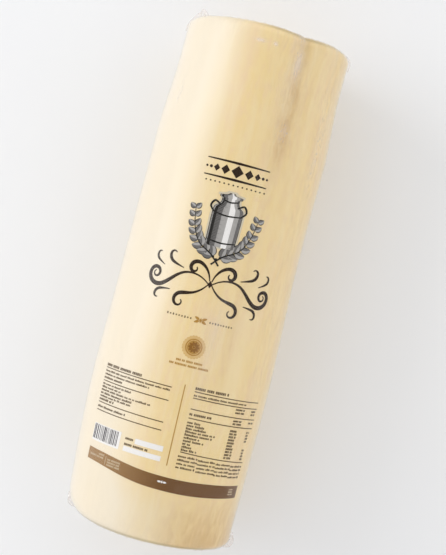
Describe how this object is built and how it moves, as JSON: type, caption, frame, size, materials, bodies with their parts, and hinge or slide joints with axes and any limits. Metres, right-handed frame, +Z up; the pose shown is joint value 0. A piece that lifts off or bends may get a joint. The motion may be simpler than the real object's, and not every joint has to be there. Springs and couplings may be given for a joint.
{
  "type": "provolone cheese",
  "caption": "Long cylindrical provolone log in tight, clear, printed shrink film, with a flattened film seal and small film ears at each end, lying on its side.",
  "frame": {"origin": "on the supporting surface, below the middle of the part's box", "axes": "+Y along the log towards the head of the print, +Z up through the printed side, +X to the right of the print"},
  "size_m": [0.1254, 0.3674, 0.1195],
  "materials": {
    "cheese": "pale straw-yellow cheese seen through tight, clear, glossy shrink film",
    "film": "clear, glossy, slightly wrinkled shrink film",
    "print": "flat printing ink on the film, dark brown, mid brown, gold, grey, black and white"
  },
  "bodies": {
    "root": {"cheese_log": "cheese", "film_seal_head": "film", "film_seal_foot": "film"}
  },
  "joints": []
}
